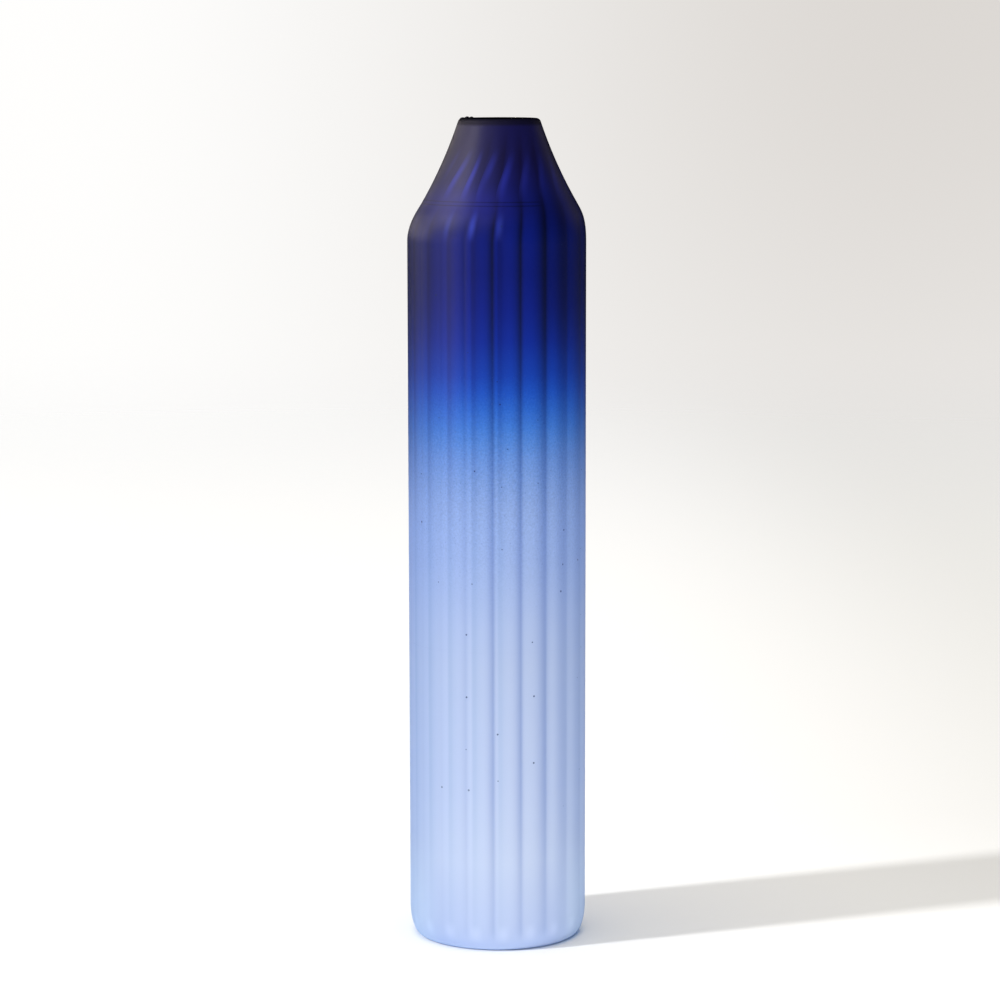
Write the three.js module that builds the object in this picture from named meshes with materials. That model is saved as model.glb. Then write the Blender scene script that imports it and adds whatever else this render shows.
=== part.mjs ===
// Tall ribbed glass bud vase with a sprayed finish that fades from navy down to pale blue.
// Millimetres, +Z up. The origin is the centre of the foot, on the surface that the vase stands on.
// Angles around the vase run from the front (-Y) towards +X.
//
// Three bonded pieces, from the inside out:
//   glass_vessel  blown clear glass, smooth outside and ribbed inside
//   frost_coat    pale translucent lacquer over the whole outer wall
//   ombre_coat    navy lacquer over the upper part, feathered out towards mid height

import * as THREE from 'three';

// ---------- driving dimensions ----------

const HEIGHT = 300;
const BODY_RADIUS = 32.4;

// Foot: a flat ring to stand on, under an elliptical curve up to the wall.
const FOOT_CURVE_WIDTH = 3.6;
const FOOT_CURVE_HEIGHT = 10.9;
const FOOT_RING_INNER_RADIUS = 20;
const PUNT_HEIGHT = 2.5;

// Shoulder and neck: the wall rolls over into a hollow-sided cone that ends at the lip.
const SHOULDER_START = 255.9;
const SHOULDER_RADIUS = 23.3;
const CONE_LEAN_AT_SHOULDER = THREE.MathUtils.degToRad(30.6);
const CONE_CURVE_RADIUS = 164;
const LIP_OUTER_RADIUS = 1.8;
const LIP_INNER_RADIUS = 0.8;
const LIP_LAND_WIDTH = 0.3;

// The neck was pulled a little off the body's axis while the glass was hot.
const NECK_OFFSET = 1.0;
const NECK_OFFSET_START = 256.3;
const NECK_OFFSET_LENGTH = 13.5;

// Glass thickness: measured in the grooves between the ribs, and at the middle of the base.
const WALL = 2.6;
const BASE_THICKNESS = 7;
const FLOOR_CORNER_RADIUS = 8;

// Ribs on the inside: broad rounded bands with narrow grooves between them.
const RIB_COUNT = 20;
const RIB_DEPTH = 0.9;
const RIB_SHARPNESS = 3;
const RIB_PHASE = THREE.MathUtils.degToRad(-2.8);
const RIB_FADE_AT_FLOOR = 8;
const RIB_FADE_AT_LIP = 14;

// The ribs turn to the right as they climb the neck, faster towards the lip.
const NECK_TWIST = THREE.MathUtils.degToRad(16);
const NECK_TWIST_START = 264;
const NECK_TWIST_GROWTH = 1.3;

// Lacquer films, thicker than sprayed ones so that they stay sound solids.
const FROST_FILM = 0.15;
const OMBRE_FILM = 0.15;
const OMBRE_EDGE = 110;
const OMBRE_FULL = 200;
const FROST_EDGE_ANGLE = THREE.MathUtils.degToRad(8);
const COAT_EDGE_ON_LIP = THREE.MathUtils.degToRad(85);

// ---------- fineness ----------

const FACETS_PER_RIB = 3;
const FACETS = RIB_COUNT * FACETS_PER_RIB;
const FOOT_STEPS = 4;
const SHOULDER_STEPS = 5;
const CONE_STEPS = 4;
const LIP_STEPS = 3;
const FLOOR_STEPS = 4;
const PUNT_STEPS = 3;
const FEATHER_STEPS = 3;

// ---------- outline of the finished vase ----------

// A station is a point of the outer outline, with the outward normal there.
function station(r, z, normalR, normalZ) {
  return { r, z, normalR, normalZ };
}

function steps(count, from, to, make) {
  const made = [];
  for (let i = 0; i <= count; i++) {
    made.push(make(THREE.MathUtils.lerp(from, to, i / count)));
  }
  return made;
}

// Quarter ellipse from the standing ring (turn 0) up to the wall (turn 90 degrees).
function footStations(fromTurn) {
  return steps(FOOT_STEPS, fromTurn, Math.PI / 2, (turn) => {
    const r = BODY_RADIUS - FOOT_CURVE_WIDTH * (1 - Math.sin(turn));
    const z = FOOT_CURVE_HEIGHT * (1 - Math.cos(turn));
    const slopeR = FOOT_CURVE_HEIGHT * Math.sin(turn);
    const slopeZ = FOOT_CURVE_WIDTH * Math.cos(turn);
    const length = Math.hypot(slopeR, slopeZ);
    return station(r, z, slopeR / length, -slopeZ / length);
  });
}

// The roll-over from the wall to the cone, and the cone's hollow side above it.
function shoulderStations() {
  return steps(SHOULDER_STEPS, 0, CONE_LEAN_AT_SHOULDER, (lean) => station(
    BODY_RADIUS - SHOULDER_RADIUS * (1 - Math.cos(lean)),
    SHOULDER_START + SHOULDER_RADIUS * Math.sin(lean),
    Math.cos(lean),
    Math.sin(lean),
  ));
}

const coneFoot = shoulderStations().at(-1);
const coneCentreR = coneFoot.r + CONE_CURVE_RADIUS * Math.cos(CONE_LEAN_AT_SHOULDER);
const coneCentreZ = coneFoot.z + CONE_CURVE_RADIUS * Math.sin(CONE_LEAN_AT_SHOULDER);

// The lip's round begins where a circle of its radius touches both the cone and the top plane.
const lipCentreZ = HEIGHT - LIP_OUTER_RADIUS;
const CONE_LEAN_AT_LIP = Math.asin(
  (coneCentreZ - lipCentreZ) / (CONE_CURVE_RADIUS + LIP_OUTER_RADIUS),
);
const lipCentreR = coneCentreR
  - (CONE_CURVE_RADIUS + LIP_OUTER_RADIUS) * Math.cos(CONE_LEAN_AT_LIP);

function coneStations() {
  return steps(CONE_STEPS, CONE_LEAN_AT_SHOULDER, CONE_LEAN_AT_LIP, (lean) => station(
    coneCentreR - CONE_CURVE_RADIUS * Math.cos(lean),
    coneCentreZ - CONE_CURVE_RADIUS * Math.sin(lean),
    Math.cos(lean),
    Math.sin(lean),
  ));
}

function lipStations(toLean) {
  return steps(LIP_STEPS, CONE_LEAN_AT_LIP, toLean, (lean) => station(
    lipCentreR + LIP_OUTER_RADIUS * Math.cos(lean),
    lipCentreZ + LIP_OUTER_RADIUS * Math.sin(lean),
    Math.cos(lean),
    Math.sin(lean),
  ));
}

// The point that lies deeper than the finished surface by depth, along the normal.
function below(at, depth) {
  return { r: at.r - depth * at.normalR, z: at.z - depth * at.normalZ };
}

// ---------- lacquer films ----------

// Every coated station, bottom to top. Both films feather to nothing at the two ends.
const coated = [
  ...footStations(FROST_EDGE_ANGLE),
  ...steps(FEATHER_STEPS, OMBRE_EDGE, OMBRE_FULL, (z) => station(BODY_RADIUS, z, 1, 0)),
  ...shoulderStations(),
  ...coneStations().slice(1),
  ...lipStations(COAT_EDGE_ON_LIP).slice(1),
];
const lastCoated = coated.length - 1;

function frostThickness(index) {
  return index === 0 || index === lastCoated ? 0 : FROST_FILM;
}

function ombreThickness(index) {
  if (index === lastCoated) {
    return 0;
  }
  const share = (coated[index].z - OMBRE_EDGE) / (OMBRE_FULL - OMBRE_EDGE);
  return OMBRE_FILM * THREE.MathUtils.clamp(share, 0, 1);
}

const ombreInner = coated.map((at, index) => below(at, ombreThickness(index)));
const glassOuter = coated.map(
  (at, index) => below(at, ombreThickness(index) + frostThickness(index)),
);

// A film's section runs up its outer side and back down its inner side to the same point.
function filmSection(outer, inner) {
  const innerWithoutTop = inner.slice(0, -1);
  return [...outer, ...innerWithoutTop.reverse()];
}

// ---------- glass ----------

function ribShare(z) {
  const rise = (z - BASE_THICKNESS) / RIB_FADE_AT_FLOOR;
  const fall = (HEIGHT - z) / RIB_FADE_AT_LIP;
  return THREE.MathUtils.smoothstep(Math.min(rise, fall), 0, 1);
}

function neckTwist(z) {
  const climb = (z - NECK_TWIST_START) / (HEIGHT - NECK_TWIST_START);
  return NECK_TWIST * THREE.MathUtils.clamp(climb, 0, 1) ** NECK_TWIST_GROWTH;
}

function neckOffset(z) {
  const share = (z - NECK_OFFSET_START) / NECK_OFFSET_LENGTH;
  return NECK_OFFSET * THREE.MathUtils.smoothstep(share, 0, 1);
}

// A point of the inside, which carries the ribs. They get shallower as the neck gets narrower.
function ribbed({ r, z }) {
  return { r, z, ribDepth: RIB_DEPTH * ribShare(z) * (r / BODY_RADIUS), twist: neckTwist(z) };
}

// Underside: a shallow dome up from the standing ring to the axis.
function puntPoints() {
  return steps(PUNT_STEPS, 0, 1, (share) => ({
    r: FOOT_RING_INNER_RADIUS * share,
    z: PUNT_HEIGHT * (1 - share * share),
  }));
}

function lipInsidePoints() {
  const centreR = lipCentreR - LIP_LAND_WIDTH;
  const centreZ = HEIGHT - LIP_INNER_RADIUS;
  const inward = Math.PI + CONE_LEAN_AT_LIP;
  return steps(LIP_STEPS, Math.PI / 2, inward, (turn) => ({
    r: centreR + LIP_INNER_RADIUS * Math.cos(turn),
    z: centreZ + LIP_INNER_RADIUS * Math.sin(turn),
  }));
}

// The inside of the wall, top to bottom, and the rounded corner down to the floor.
function insidePoints() {
  const wall = [...shoulderStations(), ...coneStations().slice(1, -1)]
    .reverse()
    .map((at) => below(at, WALL));
  const cornerR = BODY_RADIUS - WALL - FLOOR_CORNER_RADIUS;
  const cornerZ = BASE_THICKNESS + FLOOR_CORNER_RADIUS;
  const ribTops = [{ r: BODY_RADIUS - WALL, z: cornerZ + RIB_FADE_AT_FLOOR }];
  const corner = steps(FLOOR_STEPS, 0, -Math.PI / 2, (turn) => ({
    r: cornerR + FLOOR_CORNER_RADIUS * Math.cos(turn),
    z: cornerZ + FLOOR_CORNER_RADIUS * Math.sin(turn),
  }));
  return [...wall, ...ribTops, ...corner].map(ribbed);
}

const lipTop = lipStations(Math.PI / 2).at(-1);
const glassSection = [
  ...puntPoints(),
  ...footStations(0).slice(0, 1),
  ...glassOuter,
  lipTop,
  ...lipInsidePoints(),
  ...insidePoints(),
  { r: 0, z: BASE_THICKNESS },
];

// ---------- solids ----------

// Depth of the ribs at one facet corner: 0 in a groove, 1 on the crown of a rib.
function ribHeight(column) {
  const across = (column % FACETS_PER_RIB) / FACETS_PER_RIB;
  return 1 - Math.abs(2 * across - 1) ** RIB_SHARPNESS;
}

// Turns a section around the axis, then presses the ribs in and moves the neck off the axis.
function turnedSolid(section) {
  const outline = section.map((point) => new THREE.Vector2(point.r, point.z));
  const geometry = new THREE.LatheGeometry(outline, FACETS);
  const position = geometry.attributes.position;
  for (let facet = 0; facet <= FACETS; facet++) {
    const column = facet % FACETS;
    section.forEach(({ r, z, ribDepth = 0, twist = 0 }, row) => {
      const angle = RIB_PHASE + twist + (column / FACETS) * 2 * Math.PI;
      const radius = r - ribDepth * ribHeight(column);
      const x = radius * Math.sin(angle) + neckOffset(z);
      position.setXYZ(facet * section.length + row, x, z, radius * Math.cos(angle));
    });
  }
  geometry.rotateX(Math.PI / 2);
  geometry.computeVertexNormals();
  return geometry;
}

function piece(name, section, material) {
  const mesh = new THREE.Mesh(turnedSolid(section), material);
  mesh.name = name;
  return mesh;
}

const clearGlass = new THREE.MeshStandardMaterial({
  color: 0xdfe8f4,
  roughness: 0.05,
  metalness: 0,
  transparent: true,
  opacity: 0.4,
});
const frostLacquer = new THREE.MeshStandardMaterial({
  color: 0xbfcff3,
  roughness: 0.55,
  metalness: 0,
});
const navyLacquer = new THREE.MeshStandardMaterial({
  color: 0x161d6b,
  roughness: 0.5,
  metalness: 0,
});

const ombreRows = coated.findIndex((at) => at.z === OMBRE_EDGE);
const vase = new THREE.Group();
vase.add(piece('glass_vessel', glassSection, clearGlass));
vase.add(piece('frost_coat', filmSection(ombreInner, glassOuter), frostLacquer));
vase.add(piece(
  'ombre_coat',
  filmSection(coated.slice(ombreRows), ombreInner.slice(ombreRows)),
  navyLacquer,
));

export default vase;
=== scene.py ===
"""Looks of the ribbed glass bud vase: fine meshes and procedural materials around the CAD frame.

Metres, +Z up, origin at the centre of the foot. Angles around the vase run from the front (-Y)
towards +X.
"""

import math

import bpy
import numpy as np
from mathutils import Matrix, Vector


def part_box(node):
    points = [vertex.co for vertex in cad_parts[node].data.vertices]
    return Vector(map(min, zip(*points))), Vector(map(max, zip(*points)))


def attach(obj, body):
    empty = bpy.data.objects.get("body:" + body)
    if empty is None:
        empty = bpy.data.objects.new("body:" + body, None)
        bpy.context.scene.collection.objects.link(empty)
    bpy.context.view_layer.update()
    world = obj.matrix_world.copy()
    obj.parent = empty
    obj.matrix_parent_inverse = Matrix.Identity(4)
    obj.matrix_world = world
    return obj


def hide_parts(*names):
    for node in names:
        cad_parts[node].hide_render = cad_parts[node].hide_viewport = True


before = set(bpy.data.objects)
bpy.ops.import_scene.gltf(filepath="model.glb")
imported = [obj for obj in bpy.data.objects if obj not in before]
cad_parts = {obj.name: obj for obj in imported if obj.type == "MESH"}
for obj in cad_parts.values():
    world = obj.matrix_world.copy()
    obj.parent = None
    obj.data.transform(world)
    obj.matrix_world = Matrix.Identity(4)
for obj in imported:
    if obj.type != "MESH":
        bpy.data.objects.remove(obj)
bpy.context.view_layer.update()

MM = 0.001

# ---------- dimensions: the height comes from the frame, and the rest agrees with the CAD ----------

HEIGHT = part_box("glass_vessel")[1].z
BODY_RADIUS = 32.4 * MM

# Foot.
FOOT_CURVE_WIDTH = 3.6 * MM
FOOT_CURVE_HEIGHT = 10.9 * MM
FOOT_RING_INNER_RADIUS = 20 * MM
PUNT_HEIGHT = 2.5 * MM

# Shoulder, neck and lip.
SHOULDER_START = 255.9 * MM
SHOULDER_RADIUS = 23.3 * MM
CONE_LEAN_AT_SHOULDER = math.radians(30.6)
CONE_CURVE_RADIUS = 164 * MM
LIP_OUTER_RADIUS = 1.8 * MM
LIP_INNER_RADIUS = 0.8 * MM
LIP_LAND_WIDTH = 0.3 * MM
NECK_OFFSET = 1.0 * MM
NECK_OFFSET_START = 256.3 * MM
NECK_OFFSET_LENGTH = 13.5 * MM

# Glass thickness, and the floor's rounded corner.
WALL = 2.6 * MM
BASE_THICKNESS = 7 * MM
FLOOR_CORNER_RADIUS = 8 * MM

# Ribs inside, and the shallow print that they leave outside.
RIB_COUNT = 20
RIB_DEPTH = 0.9 * MM
RIB_SHARPNESS = 3
RIB_PHASE = math.radians(-2.8)
RIB_PITCH = 2 * math.pi / RIB_COUNT
RIB_FADE_AT_FLOOR = 8 * MM
RIB_FADE_AT_LIP = 14 * MM
RIB_PRINT = 0.10 * MM
RIB_PRINT_SHARPNESS = 4
RIB_PRINT_FADE_AT_FOOT = 14 * MM
RIB_PRINT_FADE_AT_NECK = 10 * MM
RIB_PRINT_FADE_START = 0.2
NECK_TWIST = math.radians(16)
NECK_TWIST_START = 264 * MM
NECK_TWIST_GROWTH = 1.3

# Beads of lacquer on the lip, at the left of the far side.
DRIP_ANGLES = [math.radians(angle) for angle in (-86, -118, -130)]
DRIP_HEIGHTS = [0.3 * MM, 0.45 * MM, 0.35 * MM]
DRIP_REACH = math.radians(2.6)
DRIP_FOOT_Z = HEIGHT - LIP_OUTER_RADIUS / 3

# Lacquer films. The gap keeps the pieces' faces from lying in one another.
FROST_FILM = 0.12 * MM
NAVY_FILM = 0.12 * MM
NAVY_EDGE = 110 * MM
NAVY_FULL = 200 * MM
NAVY_EDGE_THICKNESS = 0.1
FILM_GAP = 0.02 * MM
FROST_EDGE_TURN = math.radians(8)

# Fineness.
COLUMNS_PER_RIB = 24
COLUMNS = RIB_COUNT * COLUMNS_PER_RIB
SHARP_EDGE = math.radians(30)
FOOT_ROWS = 16
LOW_WALL_ROWS = 12
HIGH_WALL_ROWS = 18
SHOULDER_ROWS = 16
CONE_ROWS = 24
LIP_ROWS = 12
PUNT_ROWS = 8
LIP_INSIDE_ROWS = 8
WALL_INSIDE_ROWS = 20
SHOULDER_INSIDE_ROWS = 14
CONE_INSIDE_ROWS = 20
CORNER_ROWS = 12


# ---------- outline ----------

def smoothstep(low, high, value):
    share = np.clip((value - low) / (high - low), 0, 1)
    return share * share * (3 - 2 * share)


def station(r, z, normal_r, normal_z):
    return np.array([r, z, normal_r, normal_z])


def foot(from_turn, count):
    """Quarter ellipse from the standing ring up to the wall."""
    made = []
    for turn in np.linspace(from_turn, math.pi / 2, count):
        slope_r = FOOT_CURVE_HEIGHT * math.sin(turn)
        slope_z = FOOT_CURVE_WIDTH * math.cos(turn)
        length = math.hypot(slope_r, slope_z)
        made.append(station(
            BODY_RADIUS - FOOT_CURVE_WIDTH * (1 - math.sin(turn)),
            FOOT_CURVE_HEIGHT * (1 - math.cos(turn)),
            slope_r / length,
            -slope_z / length,
        ))
    return made


def wall(low, high, count):
    return [station(BODY_RADIUS, z, 1, 0) for z in np.linspace(low, high, count)]


def shoulder(count):
    return [station(
        BODY_RADIUS - SHOULDER_RADIUS * (1 - math.cos(lean)),
        SHOULDER_START + SHOULDER_RADIUS * math.sin(lean),
        math.cos(lean),
        math.sin(lean),
    ) for lean in np.linspace(0, CONE_LEAN_AT_SHOULDER, count)]


cone_foot = shoulder(2)[-1]
CONE_CENTRE_R = cone_foot[0] + CONE_CURVE_RADIUS * math.cos(CONE_LEAN_AT_SHOULDER)
CONE_CENTRE_Z = cone_foot[1] + CONE_CURVE_RADIUS * math.sin(CONE_LEAN_AT_SHOULDER)
CONE_FOOT_Z = cone_foot[1]
LIP_CENTRE_Z = HEIGHT - LIP_OUTER_RADIUS
CONE_LEAN_AT_LIP = math.asin(
    (CONE_CENTRE_Z - LIP_CENTRE_Z) / (CONE_CURVE_RADIUS + LIP_OUTER_RADIUS))
LIP_CENTRE_R = CONE_CENTRE_R - (CONE_CURVE_RADIUS + LIP_OUTER_RADIUS) * math.cos(CONE_LEAN_AT_LIP)


def cone(count):
    return [station(
        CONE_CENTRE_R - CONE_CURVE_RADIUS * math.cos(lean),
        CONE_CENTRE_Z - CONE_CURVE_RADIUS * math.sin(lean),
        math.cos(lean),
        math.sin(lean),
    ) for lean in np.linspace(CONE_LEAN_AT_SHOULDER, CONE_LEAN_AT_LIP, count)]


def lip(to_lean, count):
    return [station(
        LIP_CENTRE_R + LIP_OUTER_RADIUS * math.cos(lean),
        LIP_CENTRE_Z + LIP_OUTER_RADIUS * math.sin(lean),
        math.cos(lean),
        math.sin(lean),
    ) for lean in np.linspace(CONE_LEAN_AT_LIP, to_lean, count)]


def below(stations, depth):
    """Points that lie deeper than the stations by depth, which is one number or one for each."""
    stations = np.array(stations)
    depth = np.broadcast_to(depth, len(stations))[:, None]
    return stations[:, :2] - depth * stations[:, 2:]


def neck_offset(z):
    return NECK_OFFSET * smoothstep(NECK_OFFSET_START, NECK_OFFSET_START + NECK_OFFSET_LENGTH, z)


def neck_twist(z):
    climb = np.clip((z - NECK_TWIST_START) / (HEIGHT - NECK_TWIST_START), 0, 1)
    return NECK_TWIST * climb ** NECK_TWIST_GROWTH


def rib_depth(r, z):
    rise = (z - BASE_THICKNESS) / RIB_FADE_AT_FLOOR
    fall = (HEIGHT - z) / RIB_FADE_AT_LIP
    return RIB_DEPTH * smoothstep(0, 1, np.minimum(rise, fall)) * r / BODY_RADIUS


def print_depth(r, z):
    """How far the outside sinks over each groove between two ribs."""
    rise = z / RIB_PRINT_FADE_AT_FOOT
    fall = (CONE_FOOT_Z - z) / RIB_PRINT_FADE_AT_NECK
    share = smoothstep(RIB_PRINT_FADE_START, 1, np.minimum(rise, fall))
    return RIB_PRINT * share * r / BODY_RADIUS


def drips(angle, z):
    """Height of the beads of lacquer that dried on top of the lip."""
    beads = sum(
        height * (1 - smoothstep(0, DRIP_REACH, np.abs(angle - middle)))
        for middle, height in zip(DRIP_ANGLES, DRIP_HEIGHTS))
    return beads * smoothstep(DRIP_FOOT_Z, HEIGHT, z)


# ---------- meshes ----------

def turned(name, section, ribs=None, poles=False):
    """A closed solid turned around the axis, through a section of rows (r, z).

    ribs marks the rows that carry ribs. With poles, the first and last rows are points on the axis.
    Without, the section closes on itself.
    """
    section = np.array(section)
    ribs = np.zeros(len(section), bool) if ribs is None else np.array(ribs)
    inner = section[1:-1] if poles else section
    rib_rows = ribs[1:-1] if poles else ribs
    r, z = inner[:, :1], inner[:, 1:]
    column = np.arange(COLUMNS)
    angle = RIB_PHASE + column / COLUMNS * 2 * math.pi
    across = (column % COLUMNS_PER_RIB) / COLUMNS_PER_RIB
    from_crest = np.abs(2 * across - 1)[None, :]
    inside = rib_depth(r, z) * (1 - from_crest ** RIB_SHARPNESS)
    outside = print_depth(r, z) * from_crest ** RIB_PRINT_SHARPNESS
    angle = angle[None, :] + neck_twist(z)
    radius = r - np.where(rib_rows[:, None], inside, outside)
    x = radius * np.sin(angle) + neck_offset(z)
    y = -radius * np.cos(angle)
    from_front = (angle + math.pi) % (2 * math.pi) - math.pi
    height = z + np.where(rib_rows[:, None], 0, drips(from_front, z))
    points = np.stack([x, y, height], axis=-1).reshape(-1, 3)
    rows = len(inner)
    index = np.arange(rows * COLUMNS).reshape(rows, COLUMNS)
    row = index[:-1] if poles else index
    next_row = index[1:] if poles else np.roll(index, -1, axis=0)
    corners = [row, np.roll(row, -1, axis=1), np.roll(next_row, -1, axis=1), next_row]
    faces = np.stack(corners, axis=-1).reshape(-1, 4).tolist()
    if poles:
        points = np.vstack([points, [0, 0, section[0][1]], [0, 0, section[-1][1]]])
        first, last = len(points) - 2, len(points) - 1
        for column in range(COLUMNS):
            following = (column + 1) % COLUMNS
            faces.append([first, index[0][following], index[0][column]])
            faces.append([last, index[-1][column], index[-1][following]])
    mesh = bpy.data.meshes.new(name)
    mesh.from_pydata(points.tolist(), [], faces)
    mesh.validate()
    mesh.polygons.foreach_set("use_smooth", [True] * len(mesh.polygons))
    mesh.set_sharp_from_angle(angle=SHARP_EDGE)
    obj = bpy.data.objects.new(name, mesh)
    bpy.context.scene.collection.objects.link(obj)
    return obj


# Every coated station of the outside, bottom to top. Both films close to nothing at their ends.
coated = np.array([
    *foot(FROST_EDGE_TURN, FOOT_ROWS),
    *wall(FOOT_CURVE_HEIGHT, NAVY_EDGE, LOW_WALL_ROWS)[1:],
    *wall(NAVY_EDGE + FILM_GAP, SHOULDER_START, HIGH_WALL_ROWS),
    *shoulder(SHOULDER_ROWS)[1:],
    *cone(CONE_ROWS)[1:],
    *lip(math.pi / 2, LIP_ROWS)[1:],
    station(LIP_CENTRE_R - LIP_LAND_WIDTH, HEIGHT, 0, 1),
])
coated_z = coated[:, 1]
closing = np.ones(len(coated))
closing[[0, -1]] = 0
under_navy = coated_z > NAVY_EDGE
navy_share = smoothstep(NAVY_EDGE, NAVY_FULL, coated_z)
feather = NAVY_EDGE_THICKNESS + (1 - NAVY_EDGE_THICKNESS) * navy_share
navy_depth = np.where(under_navy, NAVY_FILM * feather, 0) * closing
frost_depth = np.where(under_navy, navy_depth + FILM_GAP, 0) * closing
glass_depth = frost_depth + FROST_FILM * closing

# A film's section runs up its outer side and back down its inner side. The frost film's sides meet
# at both ends, and the navy film's only at the lip.
frost_outside = below(coated, frost_depth)
frost_inside = below(coated, glass_depth)
navy_outside = below(coated, 0)[under_navy]
navy_inside = below(coated, navy_depth)[under_navy]
frost_film = turned("frost_film", [*frost_outside, *frost_inside[-2:0:-1]])
navy_film = turned("navy_film", [*navy_outside, *navy_inside[-2::-1]])


def glass_section():
    """The vessel's rows from the underside's middle to the floor's, and which of them carry ribs."""
    punt = [(FOOT_RING_INNER_RADIUS * share, PUNT_HEIGHT * (1 - share * share))
            for share in np.linspace(0, 1, PUNT_ROWS)]
    outside = below(coated, glass_depth + FILM_GAP * closing)
    lip_inside = [(
        LIP_CENTRE_R - LIP_LAND_WIDTH + LIP_INNER_RADIUS * math.cos(turn),
        HEIGHT - LIP_INNER_RADIUS + LIP_INNER_RADIUS * math.sin(turn),
    ) for turn in np.linspace(math.pi / 2, math.pi + CONE_LEAN_AT_LIP, LIP_INSIDE_ROWS)[1:]]
    inside = below([
        *wall(FLOOR_CORNER_RADIUS + BASE_THICKNESS, SHOULDER_START, WALL_INSIDE_ROWS),
        *shoulder(SHOULDER_INSIDE_ROWS)[1:],
        *cone(CONE_INSIDE_ROWS)[1:-1],
    ], WALL)[::-1]
    corner = [(
        BODY_RADIUS - WALL - FLOOR_CORNER_RADIUS * (1 - math.cos(turn)),
        BASE_THICKNESS + FLOOR_CORNER_RADIUS * (1 - math.sin(turn)),
    ) for turn in np.linspace(0, math.pi / 2, CORNER_ROWS)[1:]]
    rows = [*punt, (BODY_RADIUS - FOOT_CURVE_WIDTH, 0), *outside, *lip_inside,
            *inside, *corner, (0, BASE_THICKNESS)]
    smooth_rows = len(punt) + 1 + len(outside) + len(lip_inside)
    return rows, [row >= smooth_rows for row in range(len(rows))]


glass_rows, glass_ribs = glass_section()
clear_glass = turned("clear_vessel", glass_rows, glass_ribs, poles=True)


# ---------- materials ----------

class Field:
    """A number that varies over the surface: a node socket that can be used in formulas."""

    def __init__(self, tree, socket):
        self.tree = tree
        self.socket = socket

    def math(self, operation, *others):
        node = self.tree.nodes.new("ShaderNodeMath")
        node.operation = operation
        for place, value in enumerate([self, *others]):
            feed(self.tree, value, node.inputs[place])
        return Field(self.tree, node.outputs[0])

    def __add__(self, other):
        return self.math("ADD", other)

    def __sub__(self, other):
        return self.math("SUBTRACT", other)

    def __mul__(self, other):
        return self.math("MULTIPLY", other)

    def __truediv__(self, other):
        return self.math("DIVIDE", other)

    __radd__ = __add__
    __rmul__ = __mul__

    def __rsub__(self, other):
        return self * -1 + other

    def smooth(self, low, high):
        """0 below low, 1 above high, and a soft step between them."""
        node = self.tree.nodes.new("ShaderNodeMapRange")
        node.interpolation_type = "SMOOTHSTEP"
        node.inputs["From Min"].default_value = low
        node.inputs["From Max"].default_value = high
        feed(self.tree, self, node.inputs["Value"])
        return Field(self.tree, node.outputs[0])

    def bump(self, centre, reach):
        """1 at centre, and a soft fall to 0 at reach on both sides."""
        return 1 - (self - centre).math("ABSOLUTE").smooth(0, reach)


def feed(tree, value, socket):
    if isinstance(value, Field):
        tree.links.new(value.socket, socket)
    else:
        socket.default_value = value


def ramp(field, stops):
    """A colour for each value of field, through stops of (place, colour)."""
    node = field.tree.nodes.new("ShaderNodeValToRGB")
    elements = node.color_ramp.elements
    while len(elements) < len(stops):
        elements.new(1)
    for element, (place, colour) in zip(elements, stops):
        element.position = place
        element.color = (*colour, 1)
    feed(field.tree, field, node.inputs[0])
    return Field(field.tree, node.outputs[0])


def channels(colour):
    node = colour.tree.nodes.new("ShaderNodeSeparateColor")
    colour.tree.links.new(colour.socket, node.inputs[0])
    return [Field(colour.tree, socket) for socket in node.outputs]


def blend(share, first, second, mode="MIX"):
    """first where share is 0, and second, by the given blend mode, where it is 1."""
    tree = next(value.tree for value in (share, first) if isinstance(value, Field))
    node = tree.nodes.new("ShaderNodeMix")
    node.data_type = "RGBA"
    node.blend_type = mode
    feed(tree, share, node.inputs["Factor"])
    colours = [socket for socket in node.inputs if socket.type == "RGBA"]
    for value, socket in zip((first, second), colours):
        feed(tree, value if isinstance(value, Field) else (*value, 1), socket)
    return Field(tree, next(socket for socket in node.outputs if socket.type == "RGBA"))


def grey(field):
    node = field.tree.nodes.new("ShaderNodeCombineColor")
    for socket in node.inputs:
        feed(field.tree, field, socket)
    return Field(field.tree, node.outputs[0])


def place_on_object(tree):
    return tree.nodes.new("ShaderNodeTexCoord").outputs["Object"]


def split(tree, vector):
    node = tree.nodes.new("ShaderNodeSeparateXYZ")
    tree.links.new(vector, node.inputs[0])
    return [Field(tree, socket) for socket in node.outputs]


def noise(tree, scale, detail=2):
    """Smooth noise around 0. scale is in lumps a metre."""
    node = tree.nodes.new("ShaderNodeTexNoise")
    node.inputs["Scale"].default_value = scale
    node.inputs["Detail"].default_value = detail
    tree.links.new(place_on_object(tree), node.inputs["Vector"])
    return Field(tree, node.outputs["Fac"]) - 0.5


def shader(name):
    made = bpy.data.materials.new(name)
    made.use_nodes = True
    return made, made.node_tree.nodes["Principled BSDF"]


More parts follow.
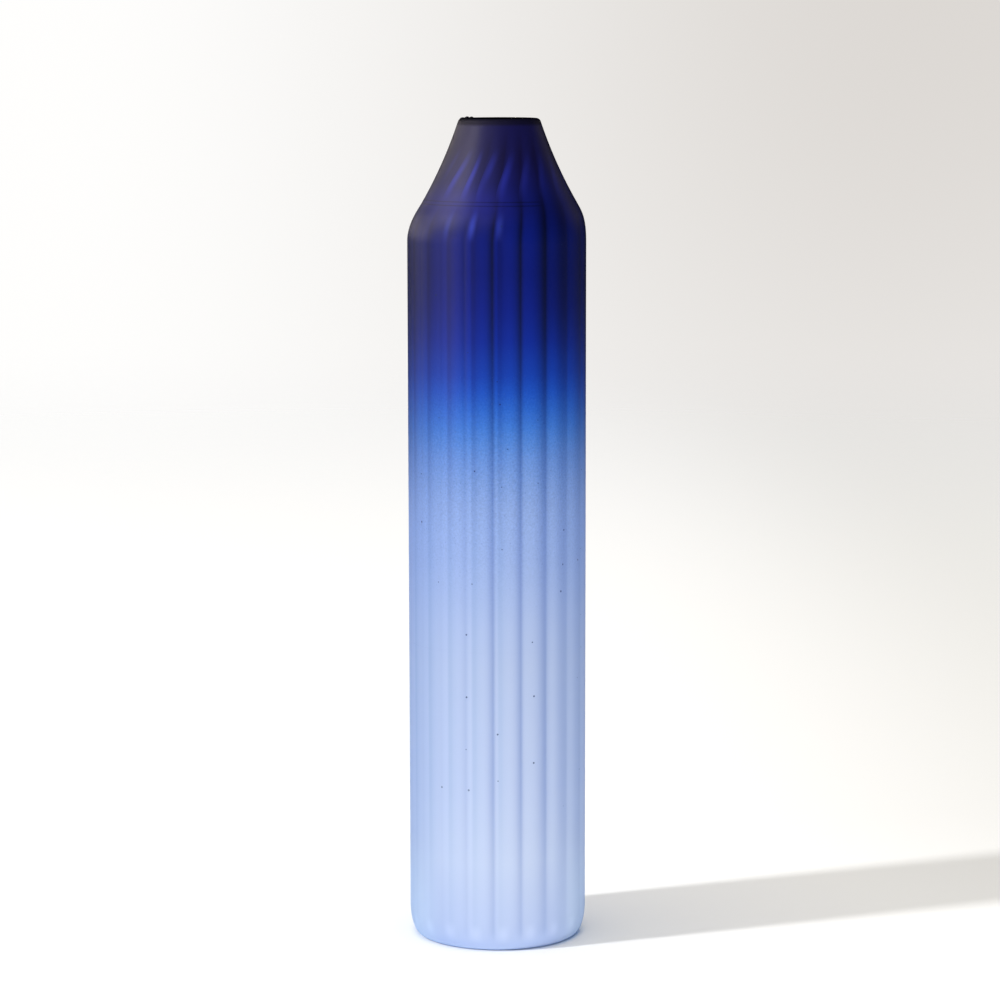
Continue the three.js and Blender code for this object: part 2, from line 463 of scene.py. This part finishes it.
# Colour of the finish by height, as a share of the vase's height.
OMBRE = [
    (0.00, (0.410, 0.520, 0.790)),
    (0.03, (0.455, 0.560, 0.800)),
    (0.11, (0.510, 0.610, 0.810)),
    (0.20, (0.470, 0.570, 0.790)),
    (0.35, (0.420, 0.520, 0.745)),
    (0.40, (0.385, 0.490, 0.740)),
    (0.48, (0.297, 0.414, 0.715)),
    (0.54, (0.252, 0.378, 0.705)),
    (0.57, (0.208, 0.348, 0.715)),
    (0.60, (0.148, 0.305, 0.740)),
    (0.62, (0.100, 0.268, 0.750)),
    (0.64, (0.057, 0.218, 0.755)),
    (0.66, (0.029, 0.158, 0.715)),
    (0.68, (0.013, 0.100, 0.645)),
    (0.70, (0.007, 0.061, 0.540)),
    (0.74, (0.004, 0.029, 0.440)),
    (0.78, (0.003, 0.017, 0.366)),
    (0.82, (0.002, 0.012, 0.297)),
    (0.86, (0.002, 0.012, 0.297)),
    (0.90, (0.006, 0.012, 0.230)),
    (0.93, (0.011, 0.013, 0.200)),
    (0.96, (0.012, 0.011, 0.130)),
    (1.00, (0.012, 0.010, 0.110)),
]

# Painted shade in the middle of a groove: what is left of the colour there, by height in the same way.
GROOVE_SHADE_COLOUR = [
    (0.03, (0.62, 0.67, 0.81)),
    (0.50, (0.58, 0.64, 0.78)),
    (0.58, (0.50, 0.57, 0.70)),
    (0.64, (0.50, 0.50, 0.58)),
    (0.69, (0.56, 0.46, 0.47)),
    (0.76, (0.66, 0.40, 0.26)),
    (0.86, (0.62, 0.36, 0.20)),
]

# The same for the fainter second line of painted shade that each rib shows on its left.
SECOND_SHADE_COLOUR = [
    (0.10, (0.88, 0.92, 0.95)),
    (0.50, (0.84, 0.88, 0.92)),
    (0.66, (0.72, 0.72, 0.78)),
    (0.80, (0.72, 0.66, 0.68)),
]

# How strong the second line of painted shade is across the rib.
SECOND_SHADE_LINE = [
    (0.00, (0, 0, 0)),
    (0.20, (0, 0, 0)),
    (0.29, (1, 1, 1)),
    (0.38, (1, 1, 1)),
    (0.48, (0.50, 0.50, 0.50)),
    (0.66, (0.12, 0.12, 0.12)),
    (0.82, (0, 0, 0)),
]

# How dark the painted shade makes the finish across one rib: its groove seen narrow (first) and wide
# (second).
GROOVE_SHADE = [
    (0.00, (1.00, 1.00, 0)),
    (0.05, (0.60, 0.80, 0)),
    (0.10, (0.22, 0.52, 0)),
    (0.16, (0.03, 0.28, 0)),
    (0.24, (0.00, 0.10, 0)),
    (0.34, (0.00, 0.03, 0)),
    (0.46, (0.00, 0.15, 0)),
    (0.56, (0.02, 0.38, 0)),
    (0.68, (0.10, 0.66, 0)),
    (0.80, (0.30, 0.88, 0)),
    (0.90, (0.63, 1.00, 0)),
    (1.00, (1.00, 1.00, 0)),
]


# The numbers below are pairs for smooth(low, high), for bump(centre, reach), or shares of 1, and they
# follow the height in metres or as a share of the vase's, or the side: -1 at the left, 1 at the right.

# Spray: the fade is mottled where it is steepest.
MOTTLE_Z = (172 * MM, 62 * MM)
DRIFT_SCALE, DRIFT = 25, 0.016
GRAIN_SCALE, GRAIN = 1500, 0.03
SPRAY_SCALE, SPRAY = 1400, 0.4

# Painted shade of the grooves: wide on the neck and at the right, and weaker towards both sides, on
# the neck and low down.
NECK_Z = (262 * MM, 276 * MM)
WIDE_SIDE = (0.20, 0.75)
WIDE_ON_NECK = 0.7
WIDE_SHIFT = 0.09
GROOVE_SIDE = (-0.60, 0.05)
GROOVE_AT_LEFT = 0.12
GROOVE_RIGHT_SIDE = (0.50, 0.90)
GROOVE_LOST_AT_RIGHT = 0.6
GROOVE_LOW_Z = (5 * MM, 65 * MM)
GROOVE_LOST_ON_NECK = 0.35
GROOVE_LOST_LOW = 0.45
SECOND_SIDE = (0, 0.35)
SECOND_SLIDE = 0.25
SECOND_SHIFT = 0.07
SECOND_LOST_LOW = 0.6
GROOVE_FOOT_Z = (2 * MM, 9 * MM)
GROOVE_LIP_Z = (284 * MM, 299 * MM)

# Shade at both sides of the navy part.
SHADE_SHARE = (0.70, 0.80)
SHADE_RIGHT_SIDE = (0.70, 0.42)
SHADE_RIGHT_COLOUR = (0.95, 0.74, 0.72)
SHADE_LEFT_SIDE = (-0.82, 0.30)
SHADE_LEFT_COLOUR = (1, 0.88, 0.84)

# Painted light at the foot: the ends of the ribs, both sides, and the line next to the floor.
TIP_ACROSS_RIB = (0.35, 0.34)
TIP_Z = (6.5 * MM, 4.5 * MM)
TIP_LIGHT = (0.06, 0.06, 0.05)
FOOT_GLOW_Z = (10 * MM, 42 * MM)
FOOT_GLOW_SIDE = (0.60, 0.98)
FOOT_GLOW_COLOUR = (0.14, 0.16, 0.09)
RIM_Z = (0.3 * MM, 2.5 * MM)
RIM_LIGHT = (0.10, 0.10, 0.06)

# Painted light at the top: spots on the shoulder, streaks on the neck that slant more than the ribs
# do, and a soft glow between the two.
SPOT_ACROSS_RIB = (0.22, 0.20)
SPOT_Z = (262.7 * MM, 6.5 * MM)
SPOT_SIDE = (-0.25, 0.60)
SPOT_LIGHT = (0.03, 0.05, 0.40)
STREAK_TURN = math.radians(18)
STREAK_TURN_Z = (272 * MM, 296 * MM)
STREAK_ACROSS_RIB = (0.18, 0.34)
STREAK_RISE_Z = (269.5 * MM, 278.5 * MM)
STREAK_FALL_Z = (279 * MM, 291 * MM)
STREAK_LEFT_SIDE = (-0.55, -0.20)
STREAK_LEFT_SHIFT = 0.4
STREAK_SIDE = (-0.45, 0.60)
STREAK_LOST_AT_RIGHT = 0.8
STREAK_GAP_SIDE = (-0.24, 0.14)
STREAK_LOST_IN_GAP = 0.6
STREAK_EDGE_SIDE = (-0.90, -0.70)
STREAK_LIGHT = (0.02, 0.03, 0.40)
GLOW_Z = (270 * MM, 9 * MM)
GLOW_SIDE = (-0.40, 0.50)
GLOW_COLOUR = (0.01, 0.01, 0.16)

# Two fine seam lines around the neck, and the lip darker in a band along its top.
SEAM_RING_Z = 270.3 * MM
SEAM_RING_GAP = 1.3 * MM
SEAM_RING_REACH = 0.35 * MM
SEAM_SIDE = (0.42, 0.60)
SEAM_COLOUR = (0.45, 0.45, 0.50)
LIP_BEAD_Z = (297.0 * MM, 298.4 * MM)
LIP_BEAD_COLOUR = (0.55, 0.50, 0.35)

# Specks: the size of their cells, the share of cells that has one, the largest radius, and strength.
DOTS_Z = (160 * MM, 130 * MM)
DOTS_ENDS = (0, 0.2)
DOT_CELL, DOT_SHARE, DOT_RADIUS, DOT_STRENGTH = 12 * MM, 0.34, 0.5 * MM, 0.85
DOT_COLOUR = (0.01, 0.03, 0.16)
DUST_CELL, DUST_SHARE, DUST_RADIUS, DUST_STRENGTH = 2 * MM, 0.45, 0.34 * MM, 0.35
DUST_COLOUR = (0.07, 0.14, 0.45)
SMALLEST_SPECK = 0.4
SPECK_EDGE = (0.5, 1)

# Gloss: a weak clear coat, whose tint darkens the colour towards the sides, most of all in the navy.
COAT_SHARE = (0.5, 0.7)
COAT_NAVY_SHARE = (0.66, 0.80)
COAT_TINT_PALE = (0.90, 0.94, 1)
COAT_TINT_BLUE = (0.65, 0.70, 0.74)
COAT_TINT_NAVY = (0.60, 0.62, 0.56)
SATIN = 0.46
SATIN_SCALE, SATIN_CHANGE = 300, 0.06
SATIN_ON_LIP = 0.3
FILM_GLOSS = {
    "IOR": 1.45,
    "Specular IOR Level": 0.2,
    "Coat Weight": 1,
    "Coat Roughness": 0.45,
    "Coat IOR": 1.06,
}


def surface_fields(tree):
    """Height, side, angle from the front, and place counted in ribs."""
    x, y, z = split(tree, place_on_object(tree))
    offset = z.smooth(NECK_OFFSET_START, NECK_OFFSET_START + NECK_OFFSET_LENGTH) * NECK_OFFSET
    angle = (x - offset).math("ARCTAN2", y * -1)
    climb = ((z - NECK_TWIST_START) / (HEIGHT - NECK_TWIST_START)).math("MAXIMUM", 0)
    twist = climb.math("POWER", NECK_TWIST_GROWTH) * NECK_TWIST
    ribs = (angle - twist - RIB_PHASE) / RIB_PITCH
    return z, angle.math("SINE"), angle, ribs


def specks(tree, angle, z, cell, share, largest):
    """Round dots, one in some of the cells of an unrolled grid."""
    join = tree.nodes.new("ShaderNodeCombineXYZ")
    feed(tree, angle * BODY_RADIUS, join.inputs[0])
    feed(tree, z, join.inputs[1])
    node = tree.nodes.new("ShaderNodeTexVoronoi")
    node.voronoi_dimensions = "2D"
    node.inputs["Scale"].default_value = 1 / cell
    tree.links.new(join.outputs[0], node.inputs["Vector"])
    distance = Field(tree, node.outputs["Distance"]) * cell
    chance, width, _ = channels(Field(tree, node.outputs["Color"]))
    radius = (SMALLEST_SPECK + (1 - SMALLEST_SPECK) * width) * largest
    return (1 - (distance / radius).smooth(*SPECK_EDGE)) * chance.math("LESS_THAN", share)


def groove_shades(z, side, ribs, on_neck):
    """Strength of the painted shade of the groove, and of the second line, at each place."""
    wide = side.smooth(*WIDE_SIDE).math("MAXIMUM", on_neck * WIDE_ON_NECK)
    across = (ribs + WIDE_SHIFT * wide).math("FRACT")
    narrow_line, wide_line, _ = channels(ramp(across, GROOVE_SHADE))
    main = narrow_line + (wide_line - narrow_line) * wide
    main = main * (GROOVE_AT_LEFT + (1 - GROOVE_AT_LEFT) * side.smooth(*GROOVE_SIDE))
    main = main * (1 - GROOVE_LOST_AT_RIGHT * side.smooth(*GROOVE_RIGHT_SIDE))
    low = 1 - z.smooth(*GROOVE_LOW_Z)
    main = main * (1 - GROOVE_LOST_ON_NECK * on_neck) * (1 - GROOVE_LOST_LOW * low)
    across = (ribs + SECOND_SLIDE * side + SECOND_SHIFT).math("FRACT")
    second, _, _ = channels(ramp(across, SECOND_SHADE_LINE))
    second = second * (1 - side.smooth(*SECOND_SIDE))
    second = second * (1 - on_neck) * (1 - SECOND_LOST_LOW * low)
    ends = z.smooth(*GROOVE_FOOT_Z) * (1 - z.smooth(*GROOVE_LIP_Z))
    return main * ends, second * ends


def streaks(z, side, angle):
    """Strength of the slanted streaks of painted light on the neck."""
    slant = z.smooth(*STREAK_TURN_Z) * STREAK_TURN
    shift = STREAK_LEFT_SHIFT * (1 - side.smooth(*STREAK_LEFT_SIDE))
    across = ((angle - slant - RIB_PHASE) / RIB_PITCH - shift).math("FRACT")
    made = across.bump(*STREAK_ACROSS_RIB)
    made = made * z.smooth(*STREAK_RISE_Z) * (1 - z.smooth(*STREAK_FALL_Z))
    made = made * (1 - STREAK_LOST_AT_RIGHT * side.smooth(*STREAK_SIDE))
    made = made * (1 - STREAK_LOST_IN_GAP * side.bump(*STREAK_GAP_SIDE))
    return made * side.smooth(*STREAK_EDGE_SIDE)


def film_colour(tree, share, mottle, z, side, angle, ribs):
    """Colour of the finish, with the painted light and shade that the ribbed glass behind it leaves.
    """
    on_neck = z.smooth(*NECK_Z)
    across = ribs.math("FRACT")
    main, second = groove_shades(z, side, ribs, on_neck)
    colour = ramp(share, OMBRE)
    # Painted shade along the ribs: the groove and its second line darken the colour.
    colour = blend(main, colour, ramp(share, GROOVE_SHADE_COLOUR), "MULTIPLY")
    colour = blend(second, colour, ramp(share, SECOND_SHADE_COLOUR), "MULTIPLY")

    shade = share.smooth(*SHADE_SHARE) * (1 - on_neck)
    right_shade = shade * side.bump(*SHADE_RIGHT_SIDE)
    left_shade = shade * side.bump(*SHADE_LEFT_SIDE)
    colour = blend(right_shade, colour, SHADE_RIGHT_COLOUR, "MULTIPLY")
    colour = blend(left_shade, colour, SHADE_LEFT_COLOUR, "MULTIPLY")

    # Painted light: rib tips, foot glow, the line next to the floor, spots, streaks and glow add to
    # the colour.
    foot_side = side.math("ABSOLUTE").smooth(*FOOT_GLOW_SIDE)
    spots = across.bump(*SPOT_ACROSS_RIB) * z.bump(*SPOT_Z) * side.bump(*SPOT_SIDE)
    for light, light_colour in (
        (across.bump(*TIP_ACROSS_RIB) * z.bump(*TIP_Z), TIP_LIGHT),
        ((1 - z.smooth(*FOOT_GLOW_Z)) * foot_side, FOOT_GLOW_COLOUR),
        (1 - z.smooth(*RIM_Z), RIM_LIGHT),
        (spots, SPOT_LIGHT),
        (streaks(z, side, angle), STREAK_LIGHT),
        (z.bump(*GLOW_Z) * (1 - side.smooth(*GLOW_SIDE)), GLOW_COLOUR),
    ):
        colour = blend(light, colour, light_colour, "ADD")

    seam_places = [SEAM_RING_Z + turn * SEAM_RING_GAP / 2 for turn in (-1, 1)]
    rings = sum(z.bump(place, SEAM_RING_REACH) for place in seam_places)
    colour = blend(rings * (1 - side.smooth(*SEAM_SIDE)), colour, SEAM_COLOUR, "MULTIPLY")
    colour = blend(z.smooth(*LIP_BEAD_Z), colour, LIP_BEAD_COLOUR, "MULTIPLY")
    spray = 1 + noise(tree, SPRAY_SCALE, 1) * SPRAY * mottle
    colour = blend(1, colour, grey(spray), "MULTIPLY")

    dots = specks(tree, angle, z, DOT_CELL, DOT_SHARE, DOT_RADIUS)
    dots = dots * z.bump(*DOTS_Z).smooth(*DOTS_ENDS)
    dust = specks(tree, angle, z, DUST_CELL, DUST_SHARE, DUST_RADIUS) * mottle
    colour = blend(dots * DOT_STRENGTH, colour, DOT_COLOUR)
    return blend(dust * DUST_STRENGTH, colour, DUST_COLOUR)


def film_material(name):
    made, principled = shader(name)
    tree = made.node_tree
    z, side, angle, ribs = surface_fields(tree)
    mottle = z.bump(*MOTTLE_Z)
    ragged = noise(tree, DRIFT_SCALE) * DRIFT + noise(tree, GRAIN_SCALE) * GRAIN
    share = z / HEIGHT + ragged * mottle
    colour = film_colour(tree, share, mottle, z, side, angle, ribs)
    tree.links.new(colour.socket, principled.inputs["Base Color"])

    tint = blend(share.smooth(*COAT_SHARE), COAT_TINT_PALE, COAT_TINT_BLUE)
    tint = blend(share.smooth(*COAT_NAVY_SHARE), tint, COAT_TINT_NAVY)
    tree.links.new(tint.socket, principled.inputs["Coat Tint"])
    satin = SATIN + noise(tree, SATIN_SCALE) * SATIN_CHANGE + z.smooth(*LIP_BEAD_Z) * SATIN_ON_LIP
    tree.links.new(satin.socket, principled.inputs["Roughness"])
    for label, value in FILM_GLOSS.items():
        principled.inputs[label].default_value = value
    return made


GLASS_TINT = (0.97, 0.98, 1)
GLASS_ROUGHNESS = 0.03
GLASS_IOR = 1.5


def glass_material():
    made, principled = shader("clear_glass")
    principled.inputs["Base Color"].default_value = (*GLASS_TINT, 1)
    principled.inputs["Roughness"].default_value = GLASS_ROUGHNESS
    principled.inputs["IOR"].default_value = GLASS_IOR
    principled.inputs["Transmission Weight"].default_value = 1
    return made


frost_film.data.materials.append(film_material("frost_lacquer"))
navy_film.data.materials.append(film_material("navy_lacquer"))
clear_glass.data.materials.append(glass_material())

for piece, node, slot in (
    (clear_glass, "glass_vessel", "clear_glass"),
    (frost_film, "frost_coat", "frost_lacquer"),
    (navy_film, "ombre_coat", "navy_lacquer"),
):
    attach(piece, "root")
    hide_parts(node)


# ---------- floor, light and camera ----------

# Floor: white paper with painted shade that greys it to the right behind the vase, and fades out far
# away.
FLOOR_RADIUS = 2.6
FLOOR_SIDES = 96
FLOOR_ROUGHNESS = 0.8
FLOOR_COLOUR = (0.9, 0.9, 0.9)
FLOOR_SHADE = (0.76, 0.755, 0.74)
FLOOR_SHADE_X = (0.04, 0.32)
FLOOR_SHADE_Y = (-0.05, 0.20)
FLOOR_FADE_START = 0.5
FLOOR_FADE_END = 2.5

# Paper wall with painted shade, by the direction in which it is seen, and the even light all around.
PAPER_COLOUR = (1, 0.995, 0.985)
PAPER_SHADE = (0.72, 0.69, 0.66)
PAPER_SHADE_X = (-0.14, 0.13)
PAPER_SHADE_Z = (-0.32, 0.02)
AMBIENT = (0.15, 0.25, 0.45)

# Lamps: distances in metres, and the key light's azimuth and elevation in degrees.
NEAR = 1.6
FAR = 5
KEY_DISTANCE = 2.2
KEY_DIRECTION = (-69, 35)
WHITE = (1, 1, 1)
YELLOW = (1, 0.83, 0.49)
WARM = (1, 0.8, 0.55)
ROSE = (1, 0.85, 0.9)

# Lamps that leave only a soft haze of gloss on the films: azimuth, elevation, size, power, colour.
SHEENS = {
    "key_sheen": (-80, 42, 0.6, 22, ROSE),
    "front_sheen": (-62, 8, 0.9, 16, (1, 0.83, 0.9)),
    "left_sheen": (-115, 15, 0.8, 14, ROSE),
    "cone_sheen": (-110, 38, 0.6, 8, ROSE),
    "neck_sheen": (-25, 44, 0.6, 4, (1, 0.9, 0.95)),
    "edge_sheen": (-145, 13, 0.5, 2.6, ROSE),
    "right_sheen": (132, 20, 0.8, 1.4, (1, 0.82, 0.9)),
}

# Camera, at the photograph's angle.
SENSOR_WIDTH_MM = 36
LENS_MM = 118.9
CAMERA_PLACE = (1.27 * MM, -1196.2 * MM, 327.6 * MM)
CAMERA_TILT = math.radians(7.92)
CAMERA_ROLL = math.radians(0.08)


def mixed_shader(tree, share, first, second):
    mix = tree.nodes.new("ShaderNodeMixShader")
    for place, socket in enumerate((share, first, second)):
        tree.links.new(socket, mix.inputs[place])
    return mix.outputs[0]


def studio_floor():
    bpy.ops.mesh.primitive_circle_add(
        vertices=FLOOR_SIDES, radius=FLOOR_RADIUS, fill_type="NGON")
    floor = bpy.context.object
    floor.name = "studio_floor"
    made, principled = shader("paper_sweep")
    tree = made.node_tree
    principled.inputs["Roughness"].default_value = FLOOR_ROUGHNESS
    principled.inputs["Specular IOR Level"].default_value = 0
    place = place_on_object(tree)
    x, y, _ = split(tree, place)
    # Painted shade: the paper greyer to the right behind the vase.
    dim = x.smooth(*FLOOR_SHADE_X) * y.smooth(*FLOOR_SHADE_Y)
    paper = blend(dim, FLOOR_COLOUR, FLOOR_SHADE)
    tree.links.new(paper.socket, principled.inputs["Base Color"])
    length = tree.nodes.new("ShaderNodeVectorMath")
    length.operation = "LENGTH"
    tree.links.new(place, length.inputs[0])
    fade = tree.nodes.new("ShaderNodeMapRange")
    fade.interpolation_type = "SMOOTHERSTEP"
    fade.inputs["From Min"].default_value = FLOOR_FADE_START
    fade.inputs["From Max"].default_value = FLOOR_FADE_END
    tree.links.new(length.outputs["Value"], fade.inputs["Value"])
    clear = tree.nodes.new("ShaderNodeBsdfTransparent")
    mix = mixed_shader(tree, fade.outputs[0], principled.outputs[0], clear.outputs[0])
    tree.links.new(mix, tree.nodes["Material Output"].inputs["Surface"])
    floor.data.materials.append(made)
    return floor


def studio_world():
    """Even soft light, and a paper wall that only the camera sees.

    The wall is white on the left and below, with painted shade that greys it at the upper right.
    """
    world = bpy.data.worlds.new("studio")
    bpy.context.scene.world = world
    world.use_nodes = True
    tree = world.node_tree
    even = tree.nodes["Background"]
    even.inputs["Color"].default_value = (*AMBIENT, 1)
    x, _, z = split(tree, tree.nodes.new("ShaderNodeTexCoord").outputs["Generated"])
    # Painted shade on the wall at the upper right.
    shadow = x.smooth(*PAPER_SHADE_X) * z.smooth(*PAPER_SHADE_Z)
    paper = tree.nodes.new("ShaderNodeBackground")
    tree.links.new(blend(shadow, PAPER_COLOUR, PAPER_SHADE).socket, paper.inputs["Color"])
    seen = tree.nodes.new("ShaderNodeLightPath").outputs["Is Camera Ray"]
    mix = mixed_shader(tree, seen, even.outputs[0], paper.outputs[0])
    tree.links.new(mix, tree.nodes["World Output"].inputs["Surface"])
    world.cycles_visibility.glossy = False


def group(name, objects):
    made = bpy.data.collections.new(name)
    for obj in objects:
        made.objects.link(obj)
    return made


def lamp(name, lit, azimuth, elevation, distance, size, power, colour, gloss=True, body=True):
    """A round soft light that looks at the vase and lights only the lit group.

    Azimuth and elevation are in degrees. Without gloss it leaves no highlight, and without body it
    leaves nothing else.
    """
    data = bpy.data.lights.new(name, "AREA")
    data.shape = "DISK"
    data.size = size
    data.energy = power
    data.color = colour
    obj = bpy.data.objects.new(name, data)
    a, e = math.radians(azimuth), math.radians(elevation)
    away = np.array([math.sin(a) * math.cos(e), -math.cos(a) * math.cos(e), math.sin(e)])
    target = np.array([0, 0, HEIGHT / 2])
    obj.location = target + distance * away
    obj.rotation_euler = (math.pi / 2 - e, 0, a)
    bpy.context.scene.collection.objects.link(obj)
    obj.light_linking.receiver_collection = lit
    obj.visible_glossy = gloss
    obj.visible_diffuse = body


def studio_camera():
    data = bpy.data.cameras.new("camera")
    data.sensor_width = SENSOR_WIDTH_MM
    data.lens = LENS_MM
    camera = bpy.data.objects.new("camera", data)
    camera.location = CAMERA_PLACE
    camera.rotation_euler = (math.pi / 2 - CAMERA_TILT, CAMERA_ROLL, 0)
    bpy.context.scene.collection.objects.link(camera)
    bpy.context.scene.camera = camera


vase_only = group("lit_vase", [clear_glass, frost_film, navy_film])
films_only = group("lit_films", [frost_film, navy_film])
floor_only = group("lit_floor", [studio_floor()])
studio_world()
lamp("floor_key", floor_only, *KEY_DIRECTION, FAR, size=0.35, power=168, colour=WHITE)
lamp("floor_fill", floor_only, 0, 90, FAR, size=5, power=225, colour=YELLOW)
lamp("vase_key", vase_only, *KEY_DIRECTION, KEY_DISTANCE, size=0.2, power=10, colour=WHITE)
lamp("vase_front", vase_only, 5, 10, NEAR, size=0.8, power=19, colour=WARM, gloss=False)
lamp("vase_back", vase_only, 180, 20, NEAR, size=0.3, power=12, colour=WARM, gloss=False)
for sheen, (azimuth, elevation, size, power, colour) in SHEENS.items():
    lamp(sheen, films_only, azimuth, elevation, NEAR, size, power, colour, body=False)
studio_camera()
bpy.context.scene.view_settings.view_transform = "Standard"
